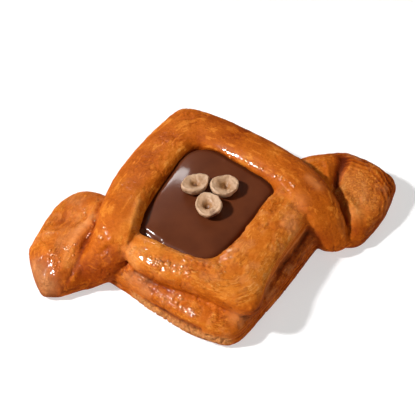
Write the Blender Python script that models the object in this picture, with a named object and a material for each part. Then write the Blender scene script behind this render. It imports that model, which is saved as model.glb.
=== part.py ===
"""A danish pastry: a square of laminated dough whose rim was cut free as two L-shaped strips.
The strips are crossed over each other, so that they frame a pool of chocolate and turn into
a folded ear on the left and on the right. Three hazelnut halves lie on the chocolate.

The plan has +X towards the right ear and +Y towards the far corner of the square, with z = 0
on the table. Sizes are millimetres here, and the meshes are in metres.
"""
import math

import bmesh
import bpy
import numpy as np
from mathutils import Matrix, Vector

MM = 0.001
GAP = 0.3                 # air between neighbouring pieces
SHARP_EDGE = 50           # degrees between two faces past which their edge is shaded sharp

# The square of dough under everything, a diamond in plan
BASE_CORNERS = [(-2.2, -58), (26.5, -33.1), (60.2, 0), (2, 59), (-56, 0), (-19.9, -46)]
BASE_CORNER_RADII = [9, 40, 14, 14, 14, 40]
# Height and setback of each level of the base's side, from under the table's plane upwards
BASE_SIDE = [(-1.5, 4.0), (0.8, 1.5), (3.0, 0.4), (5.0, 1.4), (7.5, 0.8), (10.0, 1.8), (12.0, 4.2),
             (13.0, 8.0)]

# Each strip or ear is swept through stations: one edge, the other edge and the thickness.
LOWER_STRIP = [
    ((-37, 5, 8), (-45, -3, 7), 8),
    ((-30.5, -1, 13), (-37.3, -9.8, 12), 11),
    ((-26, -7, 16.5), (-35, -18, 15.5), 12.5),
    ((-17.5, -15.5, 17), (-26.7, -27.3, 16), 12.5),
    ((-8.5, -22.5, 17), (-13, -37.2, 16), 12.5),
    ((-2.5, -22.5, 17), (5.8, -51.8, 15.5), 12.5),
    ((6.5, -17.5, 17), (16.5, -37, 16), 12.5),
    ((16, -8, 17), (26.5, -25.3, 16), 12.5),
    ((27, 4.5, 16), (38.5, -13, 14.5), 12),
    ((37, 13, 10), (48, -1, 8), 9),
]
UPPER_STRIP = [
    ((-50, -13.5, 1.5), (-61, -7.5, 4), 8),
    ((-43.5, -14, 4.5), (-54.5, -4, 10), 11.5),
    ((-38, -13, 10.5), (-49, 0, 14.5), 13),
    ((-33, -9.5, 17.5), (-45, 6, 17), 14),
    ((-28.5, -1.5, 20), (-42, 14, 18), 13.5),
    ((-21, 12.5, 18.5), (-33.4, 29.1, 16.5), 12.5),
    ((-9.5, 26, 17), (-19.2, 45.2, 16), 12),
    ((0.5, 36, 17), (-6.5, 56, 15.5), 12),
    ((3.5, 37, 17), (1.5, 61.5, 15.5), 12),
    ((6.5, 36, 17), (9.5, 59, 15.5), 12),
    ((15.5, 27, 17.5), (26.9, 43, 16), 12),
    ((25.5, 13.5, 18.5), (41.3, 25.3, 16.5), 12.5),
    ((31.5, 1.5, 19), (50.5, 9, 16.5), 14),
    ((36.5, -9.5, 14), (55, -4, 12), 14),
    ((43, -16.5, 5.5), (56.5, -14, 4.5), 11),
]
LEFT_EAR = [
    ((-36, -10, 4), (-36, 25, 7.5), 17),
    ((-44, -12.5, 4), (-44, 30.5, 8), 18),
    ((-51, -13.5, 4), (-52, 31, 8), 18),
    ((-59, -15.5, 3.5), (-61, 25.5, 7.5), 17),
    ((-66, -16.5, 3.5), (-69, 16, 6.5), 14),
    ((-71.5, -15.5, 3.5), (-74, 8.5, 6), 9.5),
]
RIGHT_EAR_BACK = [
    ((42, 0, 7), (40, 25, 8), 16),
    ((49, 1, 7), (48, 28, 8), 17),
    ((55, 5, 7), (56, 28.2, 8), 17),
    ((61, 13, 7), (64, 27.5, 8), 14),
]
RIGHT_EAR_FRONT = [
    ((61, 23.5, 7.5), (71, 23.5, 7.5), 13),
    ((59.5, 16, 7.5), (78.5, 16.2, 7), 16),
    ((57, 8, 7), (84.5, 7.5, 7), 15),
    ((57, 0, 6), (80.3, -0.5, 5.5), 14.5),
    ((56, -8, 4.5), (74, -8.5, 4), 13),
    ((53, -15, 3.5), (64, -16.5, 3.5), 9),
]
# The dough between the two folds of the right ear, which closes the hollow between them
RIGHT_EAR_FLOOR = [
    ((45, -10, 2), (45, 20, 2), 9),
    ((58, -10, 2), (58, 20, 2), 10),
    ((68, -5, 2), (68, 12, 2), 9),
]
STATION_STEPS = 4         # rings from one station to the next
END_TURNS = [84, 60, 36, 14]    # degrees of the rounded end at which it has a ring

# The dent pressed into the left ear: the line that it follows in plan, its half width and depth
DENT_LINE = [(-54, 17), (-61, 13)]
DENT_HALF_WIDTH = 6.5
DENT_DEPTH = 3.0

# The pool of chocolate
POOL_CORNERS = [(-6, -27.5), (33, 7.5), (4, 43), (-33.5, -2.5)]
POOL_CORNER_RADII = [12, 7, 12, 7]
# Height and setback of each level of its side, up to where the rim starts to roll in
POOL_SIDE = [(11.0, 1.0), (12.5, 0.0)]
POOL_TOP = 19.5
POOL_RIM = 2.0            # height of the rolled rim
POOL_ROLL = 3.0           # how far in the rolled rim reaches
POOL_RIM_TURNS = [0, 30, 60, 90]
# Part of the rim's plan, and rise above the rim, for each ring over the domed top
POOL_DOME = [(0.8, 0.3), (0.55, 0.5), (0.25, 0.6)]

# The hazelnut halves, cut face up: place in plan, rim height, radii, turn and tilt in degrees
NUTS = {
    "nut_left": ((-2.3, 13.4), 24.6, (5.7, 5.0), 30, (-5, 4)),
    "nut_right": ((9.0, 9.2), 24.9, (5.9, 5.4), 10, (4, 5)),
    "nut_front": ((0.3, 0.4), 24.8, (5.8, 5.5), 95, (5, -4)),
}
NUT_SIDES = 24
NUT_TIP = 0.13            # how far the pointed end stands out, as a part of the radius
NUT_TIP_POWER = 6         # how narrow the point is
# Part of the radius, and depth under the rim, for each ring of a nut: outside and in its hollow
NUT_OUTSIDE = [(0.22, 5.6), (0.5, 5.1), (0.75, 4.1), (0.92, 2.7), (1.0, 1.2), (0.98, 0.4), (0.9, 0.0)]
NUT_HOLLOW = [(0.62, 0.3), (0.46, 0.7), (0.36, 1.5), (0.18, 2.1)]
NUT_CLEARANCE = 2.0       # how far the room cut for a nut goes on above its rim

# A block under the table's plane, which cuts the dough flat
TABLE_BLOCK = (300, 300, 30)

PASTRY_LOOK = ((0.52, 0.17, 0.03), 0.35)        # colour and roughness
CHOCOLATE_LOOK = ((0.11, 0.035, 0.015), 0.3)
NUT_LOOK = ((0.42, 0.24, 0.12), 0.6)


def through(stations, steps):
    """A smooth run of values through the stations, with the given steps from one to the next."""
    knots = np.array(stations, dtype=float)
    first = 2 * knots[0] - knots[1]
    last = 2 * knots[-1] - knots[-2]
    knots = np.vstack([first, knots, last])
    run = []
    for before, start, end, after in zip(knots, knots[1:], knots[2:], knots[3:]):
        for t in np.arange(steps) / steps:
            run.append(0.5 * (2 * start + (end - before) * t
                              + (2 * before - 5 * start + 4 * end - after) * t ** 2
                              + (3 * start - before - 3 * end + after) * t ** 3))
    run.append(knots[-2])
    return np.array(run)


def rounded_outline(corners, radii, arc_points, side_points):
    """A closed polygon in plan with each corner turned on its own radius."""
    outline = []
    corners = [np.array(corner, dtype=float) for corner in corners]
    for i, corner in enumerate(corners):
        to_last = corners[i - 1] - corner
        to_next = corners[(i + 1) % len(corners)] - corner
        to_last /= np.linalg.norm(to_last)
        to_next /= np.linalg.norm(to_next)
        half = math.acos(np.clip(to_last @ to_next, -1, 1)) / 2
        bisector = (to_last + to_next) / np.linalg.norm(to_last + to_next)
        centre = corner + bisector * radii[i] / math.sin(half)
        start = corner + to_last * radii[i] / math.tan(half) - centre
        for a in np.linspace(0, math.pi - 2 * half, arc_points):
            turn = np.array([[math.cos(a), -math.sin(a)], [math.sin(a), math.cos(a)]])
            outline.append(centre + turn @ start)
    full = []
    for i, point in enumerate(outline):
        full.append(point)
        if (i + 1) % arc_points == 0:
            end = outline[(i + 1) % len(outline)]
            for t in np.arange(1, side_points + 1) / (side_points + 1):
                full.append(point * (1 - t) + end * t)
    return np.array(full)


def inset(outline, distance):
    """The outline moved inwards along its own normals."""
    along = np.roll(outline, -1, axis=0) - np.roll(outline, 1, axis=0)
    normal = np.stack([-along[:, 1], along[:, 0]], axis=1)
    normal /= np.linalg.norm(normal, axis=1)[:, None]
    return outline + normal * distance


def level_rings(outline, levels):
    """The outline set back at each level of a side."""
    rings = []
    for height, setback in levels:
        plan = inset(outline, setback)
        rings.append(np.column_stack([plan, np.full(len(plan), height)]))
    return rings


def new_body(name, bm):
    """An object of the finished bmesh."""
    mesh = bpy.data.meshes.new(name)
    bm.to_mesh(mesh)
    bm.free()
    body = bpy.data.objects.new(name, mesh)
    bpy.context.scene.collection.objects.link(body)
    return body


def ring_body(name, rings):
    """A closed body through rings of points, extruded from one to the next and capped."""
    bm = bmesh.new()
    turn = bm.verts.layers.int.new("turn")
    start = bmesh.ops.create_circle(bm, segments=len(rings[0]), radius=1)["verts"]
    for k, vert in enumerate(start):
        vert[turn] = k
        vert.co = rings[0][k] * MM
    edges = bm.edges[:]
    bmesh.ops.contextual_create(bm, geom=edges)
    for ring in rings[1:]:
        made = bmesh.ops.extrude_edge_only(bm, edges=edges)["geom"]
        edges = [g for g in made if isinstance(g, bmesh.types.BMEdge)]
        for vert in (g for g in made if isinstance(g, bmesh.types.BMVert)):
            vert.co = ring[vert[turn]] * MM
    bmesh.ops.contextual_create(bm, geom=edges)
    bmesh.ops.recalc_face_normals(bm, faces=bm.faces)
    return new_body(name, bm)


def strip(name, stations, sides, end_rounding, squareness):
    """A strip of dough swept through its stations, with both ends rounded."""
    run = through([(*edge, *other, thick) for edge, other, thick in stations], STATION_STEPS)
    edge, other, thick = run[:, 0:3], run[:, 3:6], run[:, 6]
    centre = (edge + other) / 2
    along = np.gradient(centre, axis=0)
    along /= np.linalg.norm(along, axis=1)[:, None]
    across = other - edge
    half_width = np.linalg.norm(across, axis=1) / 2
    across /= 2 * half_width[:, None]
    up = np.cross(across, along)
    up *= np.sign(up[:, 2:3])
    up /= np.linalg.norm(up, axis=1)[:, None]
    angle = np.arange(sides) * 2 * math.pi / sides
    side = np.sign(np.cos(angle)) * np.abs(np.cos(angle)) ** (2 / squareness)
    rise = np.sign(np.sin(angle)) * np.abs(np.sin(angle)) ** (2 / squareness)

    def section(i, scale, shift):
        return (centre[i] + along[i] * shift
                + np.outer(side, across[i]) * half_width[i] * scale
                + np.outer(rise, up[i]) * thick[i] / 2 * scale)

    turns = np.radians(END_TURNS)
    rings = [section(0, math.cos(a), -end_rounding * math.sin(a)) for a in turns]
    rings += [section(i, 1, 0) for i in range(len(run))]
    rings += [section(-1, math.cos(a), end_rounding * math.sin(a)) for a in turns[::-1]]
    return ring_body(name, rings)


def pool_body(name, grow):
    """The pool of chocolate, or the room for it in the dough where it is grown on all sides."""
    levels = [(height - (grow if i == 0 else 0), setback - grow)
              for i, (height, setback) in enumerate(POOL_SIDE)]
    for a in np.radians(POOL_RIM_TURNS):
        levels.append((POOL_TOP - POOL_RIM + (POOL_RIM + grow) * math.sin(a),
                       POOL_ROLL * (1 - math.cos(a)) - grow))
    rings = level_rings(rounded_outline(POOL_CORNERS, POOL_CORNER_RADII, 7, 8), levels)
    rim = rings[-1]
    centre = rim.mean(axis=0)
    for part, rise in POOL_DOME:
        rings.append(centre + (rim - centre) * part + np.array([0, 0, rise]))
    return ring_body(name, rings)


def nut_body(name, grow):
    """Half a hazelnut, or the room for it in the chocolate where it is grown on all sides."""
    (x, y), rim, radii, turn, tilt = NUTS[name]
    angle = np.arange(NUT_SIDES) * 2 * math.pi / NUT_SIDES
    reach = 1 + NUT_TIP * np.maximum(np.cos(angle), 0) ** NUT_TIP_POWER
    plan = np.column_stack([np.cos(angle) * radii[0] * reach, np.sin(angle) * radii[1]])
    plan *= 1 + grow / min(radii)
    levels = NUT_OUTSIDE + (NUT_HOLLOW if grow == 0 else [])
    rings = [np.column_stack([plan * part, np.full(NUT_SIDES, -depth - grow)]) for part, depth in levels]
    if grow:
        rings.append(rings[-1] + np.array([0, 0, NUT_CLEARANCE]))
    place = (Matrix.Translation((x, y, rim)) @ Matrix.Rotation(math.radians(tilt[0]), 4, "X")
             @ Matrix.Rotation(math.radians(tilt[1]), 4, "Y") @ Matrix.Rotation(math.radians(turn), 4, "Z"))
    place = np.array(place)
    return ring_body(name, [ring @ place[:3, :3].T + place[:3, 3] for ring in rings])


def table_body():
    """The block whose top is the table's plane."""
    bm = bmesh.new()
    bmesh.ops.create_cube(bm, size=MM)
    bmesh.ops.scale(bm, vec=TABLE_BLOCK, verts=bm.verts)
    bmesh.ops.translate(bm, vec=(0, 0, -TABLE_BLOCK[2] / 2 * MM), verts=bm.verts)
    return new_body("table", bm)


def combine(body, tools, operation):
    """The body with the tools united with it, or cut from it, and the tools removed."""
    group = bpy.data.collections.new("tools")
    for tool in tools:
        group.objects.link(tool)
    boolean = body.modifiers.new("combine", "BOOLEAN")
    boolean.operation = operation
    boolean.operand_type = "COLLECTION"
    boolean.collection = group
    seen = body.evaluated_get(bpy.context.evaluated_depsgraph_get())
    shape = bpy.data.meshes.new_from_object(seen)
    body.modifiers.remove(boolean)
    body.data = shape
    for tool in tools:
        bpy.data.objects.remove(tool)
    bpy.data.collections.remove(group)


def press_dent(body, line, half_width, depth):
    """The upper surface near the line moved down, most on the line itself."""
    path = through(line, 6)
    for vert in body.data.vertices:
        away = np.linalg.norm(path * MM - np.array(vert.co.xy), axis=1).min() / (half_width * MM)
        vert.co.z -= depth * MM * math.exp(-away ** 2) * max(vert.normal.z, 0)


def finish(name, body, look):
    """The body under its own name, shaded smooth, with its material."""
    colour, roughness = look
    body.name = name
    body.data.name = name
    material = bpy.data.materials.new(name)
    material.use_nodes = True
    shader = material.node_tree.nodes["Principled BSDF"]
    shader.inputs["Base Color"].default_value = (*colour, 1)
    shader.inputs["Roughness"].default_value = roughness
    shader.inputs["Metallic"].default_value = 0
    body.data.materials.clear()
    body.data.materials.append(material)
    body.data.shade_smooth()
    body.data.set_sharp_from_angle(angle=math.radians(SHARP_EDGE))


for old in list(bpy.data.objects):
    bpy.data.objects.remove(old)

# Dough: the base with the strips and ears, each with its count of sides, end rounding and squareness
pastry = ring_body("base", level_rings(rounded_outline(BASE_CORNERS, BASE_CORNER_RADII, 6, 9), BASE_SIDE))
lobes = [
    strip("lower strip", LOWER_STRIP, 24, 4, 2.9),
    strip("upper strip", UPPER_STRIP, 26, 5, 2.7),
    strip("left ear", LEFT_EAR, 36, 2.5, 2.3),
    strip("back of the right ear", RIGHT_EAR_BACK, 28, 3, 2.3),
    strip("front of the right ear", RIGHT_EAR_FRONT, 28, 3, 2.3),
    strip("floor of the right ear", RIGHT_EAR_FLOOR, 16, 2, 2.3),
]
combine(pastry, lobes, "UNION")
press_dent(pastry, DENT_LINE, DENT_HALF_WIDTH, DENT_DEPTH)
combine(pastry, [pool_body("room", GAP), table_body()], "DIFFERENCE")
finish("pastry", pastry, PASTRY_LOOK)

# Chocolate, dented by the nuts
chocolate = pool_body("chocolate", 0)
combine(chocolate, [nut_body(name, GAP) for name in NUTS], "DIFFERENCE")
finish("chocolate", chocolate, CHOCOLATE_LOOK)

# Nuts
nuts = [nut_body(name, 0) for name in NUTS]
for nut in nuts:
    finish(nut.name, nut, NUT_LOOK)

# The middle of the whole outline becomes the origin
outer = np.array([vert.co for vert in pastry.data.vertices])
middle = Vector(-(outer.min(axis=0) + outer.max(axis=0)) / 2)
middle.z = 0
for body in [pastry, chocolate, *nuts]:
    body.data.transform(Matrix.Translation(middle))
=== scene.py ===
"""A danish pastry: braided laminated dough, glazed, round a pool of set milk chocolate that
carries three hazelnut halves. Lengths are millimetres where a name or comment says so, and
metres in the meshes. +X runs from the left ear to the right ear, and z = 0 is the table.
"""
import math
import random

import bmesh
import bpy
import numpy as np
from mathutils import Matrix, Quaternion, Vector, noise
from mathutils.bvhtree import BVHTree
from mathutils.kdtree import KDTree


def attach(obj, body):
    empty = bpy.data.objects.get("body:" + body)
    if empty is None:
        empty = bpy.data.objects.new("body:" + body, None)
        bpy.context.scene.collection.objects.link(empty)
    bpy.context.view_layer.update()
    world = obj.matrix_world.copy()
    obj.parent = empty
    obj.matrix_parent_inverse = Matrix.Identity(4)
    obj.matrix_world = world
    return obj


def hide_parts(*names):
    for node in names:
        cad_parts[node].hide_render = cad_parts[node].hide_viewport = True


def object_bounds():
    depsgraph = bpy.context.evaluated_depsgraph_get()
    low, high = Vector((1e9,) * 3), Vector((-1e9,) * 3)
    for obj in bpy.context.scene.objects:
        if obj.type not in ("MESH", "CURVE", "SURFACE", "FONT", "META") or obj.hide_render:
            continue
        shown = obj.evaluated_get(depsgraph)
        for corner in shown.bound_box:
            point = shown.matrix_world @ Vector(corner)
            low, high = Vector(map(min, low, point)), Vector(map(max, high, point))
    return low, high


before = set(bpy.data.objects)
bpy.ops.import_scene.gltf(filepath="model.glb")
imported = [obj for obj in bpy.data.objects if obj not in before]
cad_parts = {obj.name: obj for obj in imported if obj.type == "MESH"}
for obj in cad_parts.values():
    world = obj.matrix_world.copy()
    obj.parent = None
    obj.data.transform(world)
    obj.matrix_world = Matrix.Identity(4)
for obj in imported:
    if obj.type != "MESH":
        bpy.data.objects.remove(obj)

cad_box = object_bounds()

# ---------------------------------------------------------------------------------------------
# Dough. One sheet of laminated dough, cut and crossed over itself, proved and baked until the
# top blistered and browned, then brushed with syrup. The form is the frame's own, drawn finer,
# with the folds, creases, blisters and layer lines of the crust pressed into it.

MM = 0.001
DOUGH_GRAIN = 0.55        # mm between the points of the crust
DOUGH_SOFTENING = 1       # rounds of Blender's own smoothing, before the facets are taken away
SMOOTHING = 0.7           # how far a round of smoothing moves a point towards its neighbours
FACET_ROUNDS = 8          # rounds of smoothing that take the solid's facets away
FOLD_DEPTH = (0.06, 0.14)     # mm that a point lies under its neighbours where a fold stays sharp
CREVICE_DEPTH = (0.05, 0.12)  # and where a crevice goes deeper
CREVICE_CUT = 0.5         # mm that it goes deeper
TRAY_GAP = 0.12           # mm above the tray up to which the underside is flat
TRAY_CUT = 8.0            # mm between the cuts across the flat underside
TRAY_RISE = 0.8           # mm above the tray over which the relief sets in
SIDE_SLOPE = (0.35, 0.85)     # how far from level the crust leans where it counts as a side
TOP_SLOPE = (0.1, 0.6)        # and how far it faces up where it counts as the top
STRIP_BLEND = 2.5         # mm over which one strip's look gives way to its neighbour's
STREAK_SHIFT = 300        # mm by which each strip's streaks are moved on, so that they differ
MEETING_JUMP = 2.2        # how many times faster than the surface the streaks run on at a meeting
MEETING_ROUNDS = 12       # rounds over which they fade out towards it
# Where the right ear leaves the upper strip: how far forward in mm, and how far right there
EAR_EDGE_Y = (-20, 10, 30)
EAR_EDGE_X = (51, 45, 33)
EAR_EDGE_BLEND = 4        # mm

# Middle lines of the strips and ears in mm, along which the crust's streaks run, and how much
# darker (above 0) or paler (below 0) each was baked
COURSES = [
    # the upper strip, from the left end over the far corner to the right end
    ([(-63, -13, 4), (-50, -10, 13), (-41, 2, 22), (-32, 17, 23), (-19, 33, 23), (-7, 43, 22),
      (3, 44, 22), (16, 32, 22), (28, 17, 23), (37, 3, 23), (41, -9, 18), (45, -18, 8)], 0.05),
    # the lower strip
    ([(-46, -4, 12), (-35, -15, 21), (-26, -24, 22), (-15, -32, 22), (-3, -40, 22), (8, -31, 22),
      (18, -20, 22), (28, -7, 21), (38, 3, 14)], -0.10),
    # the left ear, the right ear, and the base
    ([(-45, 22, 14), (-58, 14, 13), (-68, 4, 11), (-75, -8, 6)], -0.02),
    ([(42, 20, 14), (56, 20, 14), (66, 10, 12), (66, -3, 9), (56, -18, 4)], 0.02),
    ([(-60, -3, 6), (-6, -60, 6), (55, -3, 6)], 0.02),
]
UPPER_STRIP, LOWER_STRIP, BASE = 0, 1, 4
LINE_STEPS = 4            # points on a line from one station to the next
PLAN = np.array([1, 1, 0.35])    # how much each axis counts where a gap is measured mostly in plan

# Folds: a line in mm, its half width, and how far it is raised (above 0) or pressed in (below 0).
# The main lines have names, and most are used again further down
EAR_GROOVE = [(-45, 17, 16), (-48, 10, 17), (-50.6, 5, 16), (-53.5, 0.5, 15.5), (-57, -4, 14),
              (-59.3, -8, 12.5), (-62, -11.8, 11), (-65, -15.5, 9), (-68.3, -18.4, 6.8)]
EAR_CREST = [(-48.5, 15.2, 15.4), (-50.6, 10.6, 15.6), (-53, 6, 15.6), (-56, 1.4, 15.3),
             (-59.5, -1.8, 14.9), (-63, -4.6, 14), (-65, -8, 12.9), (-66, -11, 11.6)]
STRIP_FOOT = [(34, -17.5, 11.5), (28.6, -23.6, 12), (23.5, -28.5, 12.5), (18.5, -33.5, 13),
              (13, -39.8, 13), (7, -47, 13), (3, -52, 13)]
STRIP_FRONT_FOOT = [(-39.4, -21.4, 12), (-34.2, -27.4, 12), (-27.2, -33.3, 12), (-20, -38, 12),
                    (-13, -43, 12), (-6.4, -49.6, 12), (-0.5, -53.5, 12)]
STRIP_LIP = [(32.6, -16.5, 14), (27.4, -22.4, 14.2), (22.3, -27.3, 14.5), (17.3, -32.3, 14.8),
             (11.8, -38.6, 15), (5.8, -45.8, 15), (1.8, -50.6, 15)]
FOLDS = [
    # the groove that parts the upper strip from the left ear, and the ear's crest beside it
    (EAR_GROOVE, 1.1, -0.6),
    (EAR_CREST, 2.2, 0.75),
    # the shoulder that turns down to the ear's tip
    ([(-71, -3, 12), (-70, -8, 11.8), (-69, -13, 10.5)], 3.4, 1.1),
    # the ridge right of the groove, down the steep front of the left ear
    ([(-58, -9.5, 13.7), (-60.6, -12.6, 11.4), (-63.6, -15.6, 10), (-67.2, -18.4, 7.8),
      (-70, -19.8, 5)], 1.1, 0.4),
    # creases that run out of the hollow in the left ear
    ([(-62.5, 12.5, 11), (-60.2, 20.5, 11.5)], 1.3, -0.4),
    ([(-61, 11.5, 11.5), (-55.8, 15.5, 12.5)], 1.3, -0.45),
    ([(-60.5, 10, 12), (-54.5, 9.5, 14)], 1.2, -0.35),
    ([(-65.5, 15, 10.5), (-65, 19, 10)], 1.1, -0.5),
    # a small fold in the left ear, pinched up under the hollow
    ([(-71.5, 8.3, 11.1), (-69.4, 8.2, 11.5), (-67.4, 7.3, 12.1), (-65.5, 6.4, 12.8)], 0.9, 0.6),
    # the recess in the end of the upper strip where the lower one pushes against it
    ([(-50.5, -12.5, 19), (-46.5, -12.2, 20.4), (-42.5, -14, 20)], 1.3, -0.8),
    # the foot of the lower strip, where its side meets the base
    (STRIP_FOOT, 0.8, -1.4),
    (STRIP_FRONT_FOOT, 0.6, -1.0),
    # the lip of the lower strip's cut side, above its foot
    (STRIP_LIP, 0.8, 0.4),
    # the parted layer along the front of the base
    ([(-36.5, -31, 6.4), (-32.6, -36, 6.6), (-29, -41.8, 6.8), (-25.8, -45.5, 7.4),
      (-22.5, -48.9, 7.4), (-19.1, -51.8, 7.3)], 0.7, -1.0),
    # the last crease of the right ear, and the ridge of its facet beside it
    ([(59.8, 16.5, 14.5), (57, 12.2, 13.8), (55, 8.7, 12.7), (53, 5.5, 11.5)], 1.8, -0.9),
    ([(62.3, 12.8, 15.4), (59.6, 9.9, 14.5), (57, 7.2, 13.4), (55.3, 4.3, 12), (56, 0.2, 11.6),
      (57.2, -5.9, 11.4), (58.6, -12.6, 10.6)], 1.1, 0.8),
    # and a low ridge on the other side of that crease
    ([(51.8, 15.2, 16), (50.8, 10.3, 15.8), (50.3, 6.8, 14.6)], 0.8, 0.5),
    # the foot of the right ear, filled where the upper strip presses on it
    ([(53.6, 2, 10.4), (54.2, -2.3, 10.4), (54.8, -6.3, 10.4), (55.3, -10.3, 10.2),
      (55.6, -14, 9.6)], 2.6, 2.4),
    # the light rim along the foot of the right ear
    ([(38, -21.5, 6), (42, -23, 6), (47, -22.6, 6), (52, -21.5, 6.2)], 0.8, 0.6),
    # a ridge along the inside of the upper strip's left arm
    ([(-42, -15, 20), (-39.2, -10.5, 23.2), (-36.8, -5, 24.7), (-34.5, 0, 25),
      (-31.8, 5, 24.8)], 0.9, 0.45),
]
FOLD_LEAST = 0.8          # how much of a fold's height is there even where it is faint
FOLD_VARIES = 0.45        # and how much its height varies along it
FOLD_LUMPS = 4.5          # mm from where it is strong to where it is faint
# Fine wrinkles beside a line: the line, how far out in mm they start and end, on its left (1) or
# right (-1), and their size and height in mm
PLEATS = [
    (EAR_GROOVE, 0.8, 9.0, -1, 1.3, 0.22),
    (STRIP_FOOT, 0.6, 4.0, 1, 1.2, 0.2),
]
PLEAT_START = 0.8         # mm off the line over which they set in
PLEAT_ENDS = (0.5, 6)     # mm from either end of the line over which they set in
PLEAT_STRETCH = 0.14      # how much they are drawn out along the line
PLEAT_SLANT = (0.3, -0.12)    # how they slant: on along the line as they go out, and the reverse
HOLLOW = (-63.5, 13.3)    # the hollow of the left ear, mm
HOLLOW_REACH = 4.5
HOLLOW_DEPTH = 1.5
# The right ear's last fold: the layers stand round its inner corner in rings
RING_CORNER = (55, -5)
RING_SPACING = 2.1
RING_SWAY = 1.5           # mm that a ring strays
RING_HEIGHT = 0.13
RING_START = (13, 17)     # mm from that corner over which they set in
RING_SIDE = (57, 63)      # and how far to the right
# The dry patch on the right ear where the crust tore and shows crumb
TORN_PATCH = (61.5, 0)
TORN_PATCH_REACH = (7, 11)
TORN_DEPTH = 0.35         # mm
CRUMB_SIZE = 1.7          # mm
CRUMB_LIMITS = (-0.3, 1)  # how far it stands up at most, and how deep its pits are
# The lower edge of the base, where the bottom layers stand apart and are dry
BASE_EDGE = [(-40, -27, 4), (-36, -33, 3.2), (-31.5, -38.7, 3), (-27.6, -43.8, 3.9),
             (-21, -50.7, 4.3), (-14, -55.6, 4.1), (-10, -57.5, 4.4)]
BASE_EDGE_REACH = (1.6, 3.2)
BASE_EDGE_TORN = 3        # how much deeper than the patch it is torn
BASE_EDGE_PITTED = 1.7    # and how much more pitted it looks

# Lumps of the whole crust: their height in mm or how much darker they are, their size in mm, and
# their seed
RISE_LUMPS = [(0.22, 18, 1), (0.2, 6, 2)]
PIMPLES = [(0.17, 2.8, 18), (0.16, 1.6, 19)]
LAYER_SWAY = [(0.9, 15, 5), (0.3, 4, 6)]
BAKE_PATCHES = [(0.10, 20, 7), (0.06, 7, 8)]
WRINKLE_STRETCH = (0.12, 0.45, 0.3)    # wrinkles in a mm along a strip, across it and upwards
WRINKLE_HEIGHT = 0.1
BLISTERED_SIZE = 12       # mm between the blistered places
BLISTERED_EDGE = (-0.2, 0.3)  # between which values of their lumps they set in
BLISTER_SIZE = 3.4        # mm
BLISTER_GAP = 1.5         # how small a blister is in its cell
BLISTER_ROUNDNESS = 0.8   # under 1 for a blunter top
BLISTER_HEIGHT = 0.55
PUFFED = (0.35, 0.65)     # how puffy the crust is, and how much more on the lower strip and base
SEAM_SIZE = 6             # mm between the fine seams round the blistered places
SEAM_SWAY = 1.2           # mm that they stray
SEAM_WIDTH = 0.07
SEAM_DEPTH = 0.3
LAYER_SPACINGS = (1.9, 3.1)    # mm between the layers on the cut sides, in two waves
LAYER_HEIGHT = 0.16
LAYER_SIDES = (0.3, 0.7)  # how far the layers stand apart, and how much more on sides to the right
LAYER_START = 1.5         # mm above the tray over which they set in

# How dark the crust was baked, where 0 is pale and 1 nearly black
BAKE = 0.5
# Darker near the tray: browned where it lay on it, and painted shade on the low sides
TRAY_BROWNING_AND_SHADE = 0.22        # where it lay near the tray
TRAY_DARK_HEIGHT = (0.5, 5)    # mm above the tray
# Darker on the sides: browner crust there, and painted shade where they turn from the lamp
SIDE_BROWNING_AND_SHADE = 0.10
# Painted shade in hollows: the rounds of smoothing that find them, how much darker for each mm of
# hollow, and its limits
HOLLOW_ROUNDS = 5         # rounds of smoothing that show where it is hollow
HOLLOW_PAINTED_SHADE = 0.5       # for each mm of hollow
HOLLOW_LIMITS = (-0.12, 0.5)   # mm
RING_PALER = 0.08
# How wet it stayed: the thin glaze all over, the right ear left nearly dry, none near the tray
THIN_GLAZE = 0.012
EAR_DRY = 0.9
GLAZED_HEIGHT = (5, 9)    # mm above the tray
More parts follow.
